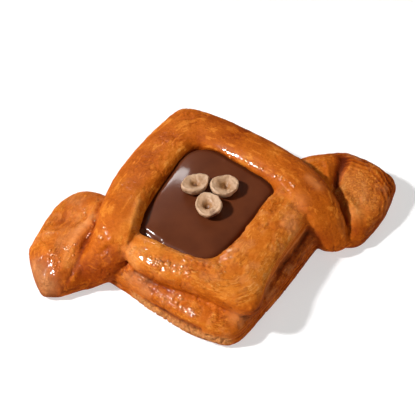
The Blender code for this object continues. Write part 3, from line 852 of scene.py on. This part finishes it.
def syrup_beads(rows, surface):
    """Flat round beads set on the crust at random near each line."""
    chance = random.Random(BEAD_SEED)
    bm = bmesh.new()
    for stations, stray, count, small, large, stands in rows:
        line = smooth_run(stations)
        for number in range(count):
            along = chance.uniform(0, len(line) - 1)
            start = line[int(along)]
            end = line[min(int(along) + 1, len(line) - 1)]
            spot = start + (end - start) * (along % 1)
            spot += [chance.gauss(0, stray) for axis in range(3)]
            place, outwards = surface.find_nearest(Vector(spot) * MM)[:2]
            radius = BEAD_RADIUS * (small + (large - small) * chance.random() ** 2) * MM
            turned = outwards.to_track_quat("Z", "Y").to_matrix().to_4x4()
            length = radius * chance.uniform(*BEAD_LENGTH)
            size = Matrix.Diagonal((length, radius, radius * stands, 1))
            bmesh.ops.create_icosphere(bm, subdivisions=2, radius=1,
                                       matrix=Matrix.Translation(place) @ turned @ size)
    mesh = bpy.data.meshes.new("syrup")
    bm.to_mesh(mesh)
    bm.free()
    mesh.shade_smooth()
    beads = bpy.data.objects.new("syrup", mesh)
    bpy.context.scene.collection.objects.link(beads)
    return beads


crust_surface = BVHTree.FromObject(dough, bpy.context.evaluated_depsgraph_get())
syrup = syrup_beads(SYRUP, crust_surface)
# A bead is clear, so it has the colours of the crust under it
crust_points = KDTree(len(points))
for i, point in enumerate(points):
    crust_points.insert(point, i)
crust_points.balance()
under = [crust_points.find(point)[1] for point in read_points(syrup.data)[0]]
crust_facts["glazed"] = np.full(len(points), BEAD_GLOSS)
crust_facts["beaded"] = np.zeros(len(points))
# with painted light that makes each bead paler than the crust under it
crust_facts["bake"] = bake - BEAD_PAINTED_LIGHT
for name, values in crust_facts.items():
    write_attribute(syrup.data, name, values[under])
syrup.data.materials.append(crust_finish)
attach(syrup, "root")

# ---------------------------------------------------------------------------------------------
# Chocolate. Milk chocolate cream poured into the baked frame and left to set: nearly level, with
# a rolled rim where it stopped short of the crust. It reaches just into the dough's wall.

POOL_GRAIN = 0.55         # mm
POOL_SOFTENING = 30       # rounds of Blender's own smoothing
POOL_REACH = 0.55         # mm that it stands out past the frame's solid, into the wall
POOL_WAVE = 0.04          # mm that its surface waves up and down
POOL_WAVE_SIZE = 14       # mm
RIM_DROP = 0.6            # mm that the rim sinks where it meets the crust
RIM_WIDTH = 1.0           # mm over which it does so
# The line in mm along which the left corner is rounded off, over which parts of it that sets in
# and ends, how far the corner sinks there and over what width
CORNER_LINE = [(-33.6, -4.2, 0), (-31, -8.3, 0), (-28.5, -12.1, 0), (-24.5, -15.8, 0)]
CORNER_STARTS = (0, 4)
CORNER_ENDS = (10, 14)
CORNER_DROP = 1.6
CORNER_WIDTH = 2.3
CORNER_LIFT = 0.5         # mm that the chocolate stands higher near that corner
CORNER_LIFT_REACH = 8     # mm
BUBBLE = (8.9, 23.4)      # a small bubble that set in the surface
BUBBLE_HEIGHT = 0.3       # mm
BUBBLE_WIDTH = 0.8        # mm
MILK_COLOURS = [
    (0.3, (0.097, 0.0235, 0.0078)),
    (0.7, (0.122, 0.031, 0.0102)),
]

pool = fine_copy("chocolate", "pool", POOL_GRAIN, POOL_SOFTENING)
points, facing = read_points(pool.data)
points[:, :2] += facing[:, :2] * POOL_REACH
upward = ramp(facing[:, 2], 0.3, 0.9)
points[:, 2] += upward * POOL_WAVE * lumps(points, POOL_WAVE_SIZE, 11)
to_bubble = np.hypot(*(points[:, :2] - BUBBLE).T)
points[:, 2] += upward * BUBBLE_HEIGHT * falloff(to_bubble, BUBBLE_WIDTH)
# The rim rolls down to the crust
to_wall = np.empty(len(points))
for i, point in enumerate(points * MM):
    nearest_place, outwards, face, gap = crust_surface.find_nearest(Vector(point))
    to_wall[i] = math.copysign(gap / MM, (Vector(point) - nearest_place).dot(outwards))
roll = RIM_DROP * falloff(np.maximum(to_wall, 0), RIM_WIDTH)
gap, along_line, turned = near_line(points, CORNER_LINE, (1, 1, 0))
within = ramp(along_line, *CORNER_STARTS) * (1 - ramp(along_line, *CORNER_ENDS))
corner = CORNER_DROP * within * np.clip(1 - gap * turned / CORNER_WIDTH, 0, 1) ** 2
points[:, 2] -= upward * np.maximum(roll, corner)
to_corner = np.hypot(*(points[:, :2] - CORNER_LINE[1][:2]).T)
points[:, 2] += upward * CORNER_LIFT * falloff(to_corner, CORNER_LIFT_REACH)
write_points(pool.data, points)

milk = Recipe(bpy.data.materials.new("milk_chocolate"))
place = place_in_mm(milk)
cloud = mottle(milk, place, 0.12, 3)
film = mottle(milk, place, 0.35, 3)
colour = milk.node("ShaderNodeValToRGB", {"stops": MILK_COLOURS}, {"Fac": cloud})
normal = milk.node("ShaderNodeBump", {}, {
    "Height": film, "Strength": 0.04, "Distance": 0.4 * MM})
pool.data.materials.append(milk.finish("Principled BSDF", {
    "Base Color": colour, "Roughness": 0.45, "Specular IOR Level": 0.03, "Normal": normal,
    "Coat Weight": 0.15, "Coat Roughness": 0.1,
}))
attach(pool, "root")
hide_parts("chocolate")

# ---------------------------------------------------------------------------------------------
# Nuts. Three halves of roasted hazelnut laid with the cut face up, each a pale ring round the
# hollow that the kernel has in its middle, with shreds of brown skin left on the outside.

NUT_GRAIN = 0.24          # mm
NUT_SOFTENING = 4         # rounds of Blender's own smoothing
# Each half: where its hollow lies off its middle in mm, the hollow's width and depth, and where its
# outline stands out or is chipped: towards which side in degrees, and by what part of the radius
HALVES = {
    "nut_left": ((-0.2, -0.4), 1.5, 1.4, [(190, 0.14), (22, 0.12), (100, -0.04)]),
    "nut_right": ((0.1, 0.2), 2.0, 1.8, [(98, -0.16), (30, 0.03), (150, 0.03)]),
    "nut_front": ((-0.5, -0.4), 1.5, 2.3, [(248, 0.08), (60, -0.06), (330, 0.03)]),
}
CHIP_WIDTH = 24           # degrees
FACE_SINKS = 0.1          # mm that the cut face lies under its rim
DISH_DEPTH = 0.8          # mm that the cut face is dished, wider than the hollow
DISH_WIDTH = 3            # mm
FACE_RIPPLE = 0.35        # mm that it is uneven
RIPPLE_SIZE = 2.2         # mm
KERNEL_BUMP = 0.55        # mm that the germ stands up in the middle of the hollow
KERNEL_PLACE = 0.25       # mm from the middle
KERNEL_WIDTH = 0.5        # mm
OUTSIDE_LUMPS = 0.25      # mm that the outside is lumpy
OUTSIDE_SIZE = 2.4        # mm
SKIN_PLACE = (-3.5, -7.5, 21.8)    # where a shred of skin is left, low on the front half
SKIN_REACH = (1.8, 3.2)   # mm
NUT_COLOURS = [
    (0.0, (0.66, 0.44, 0.28)),
    (0.3, (0.47, 0.265, 0.14)),
    (0.55, (0.36, 0.17, 0.06)),
    (0.8, (0.22, 0.085, 0.018)),
    (1.0, (0.08, 0.025, 0.006)),
]
SKIN_COLOUR = (0.11, 0.022, 0.006)
# How much darker each makes the nut: everywhere, in the hollow, as its browner lining and painted
# shade, and by each pattern
NUT_DARKER = {"all": 0.15, "hollow": 0.8, "fibre": 0.35, "flesh": 0.6}

kernel = Recipe(bpy.data.materials.new("hazelnut"))
place = place_in_mm(kernel)
depth = fact(kernel, "hollow")
skin = fact(kernel, "skin")
flesh = mottle(kernel, place, 0.35, 3)
fibre = mottle(kernel, place, 1.0, 5, 0.65)
tone = (NUT_DARKER["all"] + depth * NUT_DARKER["hollow"] + (fibre - 0.5) * NUT_DARKER["fibre"]
        + (flesh - 0.5) * NUT_DARKER["flesh"])
colour = kernel.node("ShaderNodeValToRGB", {"stops": NUT_COLOURS}, {"Fac": tone})
colour = blend(kernel, skin + skin * (fibre - 0.5) * 2, colour, SKIN_COLOUR)
normal = kernel.node("ShaderNodeBump", {}, {
    "Height": fibre, "Strength": 0.6, "Distance": 0.4 * MM})
nut_finish = kernel.finish("Principled BSDF", {
    "Base Color": colour, "Roughness": 0.55, "Specular IOR Level": 0.2, "Normal": normal,
    "Coat Weight": 0.1, "Coat Roughness": 0.35,
})

for number, (node, (offset, width, deep, corners)) in enumerate(HALVES.items()):
    nut = fine_copy(node, "half_" + node, NUT_GRAIN, NUT_SOFTENING)
    points, facing = read_points(nut.data)
    low, high = points.min(axis=0), points.max(axis=0)
    middle = (low + high) / 2
    half = (high - low) / 2
    part = np.hypot(*((points - middle) / half)[:, :2].T)
    # The cut face: flat across the rim, with the hollow and its germ in it
    upward = ramp(facing[:, 2], 0.1, 0.4)
    rim = (facing[:, 2] > 0.5) & (part > 0.75)
    plane = np.column_stack([points[:, :2], np.ones(len(points))])
    slope = np.linalg.lstsq(plane[rim], points[rim, 2], rcond=None)[0]
    inside = np.hypot(*(points[:, :2] - middle[:2] - offset).T)
    ripple = lumps(points * (1, 1, 0), RIPPLE_SIZE, 20 + number)
    face = (plane @ slope - FACE_SINKS - DISH_DEPTH * falloff(inside, DISH_WIDTH)
            + FACE_RIPPLE * ripple - deep * falloff(inside, width)
            + KERNEL_BUMP * falloff(inside - KERNEL_PLACE, KERNEL_WIDTH))
    share = upward * ramp(0.95 - part, 0, 0.2)
    points[:, 2] += share * (face - points[:, 2])
    # The outline: chipped here, pointed there, and lumpy below
    turn = np.degrees(np.arctan2(*(points - middle)[:, 1::-1].T))
    stretch = np.zeros(len(points))
    for towards, reach in corners:
        off = (turn - towards + 180) % 360 - 180
        stretch += reach * falloff(off, CHIP_WIDTH) * ramp(part, 0.3, 0.9)
    points[:, :2] += (points - middle)[:, :2] * stretch[:, None]
    outside = OUTSIDE_LUMPS * lumps(points, OUTSIDE_SIZE, 30 + number) * (1 - share)
    points += facing * outside[:, None]
    write_points(nut.data, points)
    # How sunk each place is, which darkens the hollow: its browner lining, and painted shade
    sunk = 0.6 * falloff(inside, width) + 0.4 * falloff(inside, DISH_WIDTH)
    to_skin = np.linalg.norm(points - SKIN_PLACE, axis=1)
    write_attribute(nut.data, "hollow", sunk * upward)
    write_attribute(nut.data, "skin", 1 - ramp(to_skin, *SKIN_REACH))
    nut.data.materials.append(nut_finish)
    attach(nut, "root")
    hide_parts(node)

# ---------------------------------------------------------------------------------------------
# Table, light and camera. A plain pale table, one soft lamp from the left and a little behind,
# and a camera that looks down on the pastry as in the photograph.

TABLE_REACH = 2           # m from the middle to each edge

bm = bmesh.new()
bmesh.ops.create_grid(bm, x_segments=1, y_segments=1, size=TABLE_REACH)
table_mesh = bpy.data.meshes.new("table")
bm.to_mesh(table_mesh)
bm.free()
table = bpy.data.objects.new("table", table_mesh)
bpy.context.scene.collection.objects.link(table)
paper = Recipe(bpy.data.materials.new("pale_table"))
table_mesh.materials.append(paper.finish("Principled BSDF", {
    "Base Color": (0.55, 0.55, 0.55, 1), "Roughness": 1, "Emission Color": (1, 1, 1, 1),
    "Emission Strength": 0.5,
}))
table.visible_glossy = False

# The camera: where it looks, how far off it stands in metres, and its angles and lens
CAMERA_TARGET = Vector((-2.83, 5.53, 12.0)) * MM
CAMERA_AWAY = 0.62
CAMERA_TURN = math.radians(-13)
CAMERA_LIFT = math.radians(50)
SENSOR_WIDTH = 36         # mm
LENS = 128                # mm
back = Vector((math.sin(CAMERA_TURN) * math.cos(CAMERA_LIFT),
               -math.cos(CAMERA_TURN) * math.cos(CAMERA_LIFT), math.sin(CAMERA_LIFT)))
lens = bpy.data.cameras.new("camera")
lens.sensor_width = SENSOR_WIDTH
lens.lens = LENS
camera = bpy.data.objects.new("camera", lens)
camera.location = CAMERA_TARGET + back * CAMERA_AWAY
camera.rotation_euler = back.to_track_quat("Z", "Y").to_euler()
bpy.context.scene.collection.objects.link(camera)
bpy.context.scene.camera = camera

# The directions from which the lamps shine
KEY_SIDE = (-0.70, 0.05, 0.71)
FILL_SIDE = (0.6, -0.65, 0.38)
FAR_SIDE = (0.60, 0.63, 0.5)
CARD_SIDE = (0.127, 0.65, 0.749)
CARD_PLACE = (-27.9, 35, 11.2)    # mm
ROOM_COLOUR = (1, 0.92, 0.8, 1)
ROOM_LIGHT = 0.11
ROOM_OVERHEAD = 0.3       # how much brighter the room is overhead to what mirrors it
OVERHEAD_EDGE = (0.1, 0.95)       # from which upward slope that sets in, and where it is full


def lamp(name, towards, away, size, watts, place=(0, 0, 0), height=None, roll=0):
    """A soft lamp that shines from a direction on a place in mm, square if no height is given."""
    light = bpy.data.lights.new(name, "AREA")
    light.shape = "RECTANGLE"
    light.size = size
    light.size_y = height or size
    light.energy = watts
    made = bpy.data.objects.new(name, light)
    towards = Vector(towards).normalized()
    made.location = Vector(place) * MM + towards * away
    made.rotation_euler = (towards.to_track_quat("Z", "Y") @ Quaternion((0, 0, 1), roll)).to_euler()
    made.visible_camera = False
    bpy.context.scene.collection.objects.link(made)
    return made


lamp("key", KEY_SIDE, away=1.0, size=0.08, watts=12.2)
bulb = lamp("bulb", KEY_SIDE, away=1.0, size=0.05, watts=22)
fill = lamp("fill", FILL_SIDE, away=1.3, size=0.9, watts=4.3)
behind = lamp("behind", FAR_SIDE, away=1.2, size=0.5, watts=1.6)
# A small card that the chocolate mirrors in its far left corner
card = lamp("card", CARD_SIDE, away=0.08, size=0.042, watts=0.06, place=CARD_PLACE,
            height=0.008, roll=math.radians(-33.5))
# The bulb and the card show only in what mirrors them, and the two soft lamps never do
for light in (bulb, card):
    light.visible_diffuse = False
for light in (fill, behind):
    light.visible_glossy = False
# The room: dim to the crust, but bright overhead to what its glaze mirrors
room = Recipe(bpy.data.worlds.new("room"))
mirrored = room.node("ShaderNodeLightPath", {}, {}, "Is Glossy Ray")
direction = room.node("ShaderNodeTexCoord", {}, {}, "Generated")
upwards = room.node("ShaderNodeSeparateXYZ", {}, {0: direction}, "Z")
overhead = step(room, upwards, *OVERHEAD_EDGE)
bpy.context.scene.world = room.finish("Background", {
    "Color": ROOM_COLOUR, "Strength": ROOM_LIGHT + mirrored * overhead * ROOM_OVERHEAD,
})
bpy.context.scene.view_settings.view_transform = "Standard"

low, high = cad_box
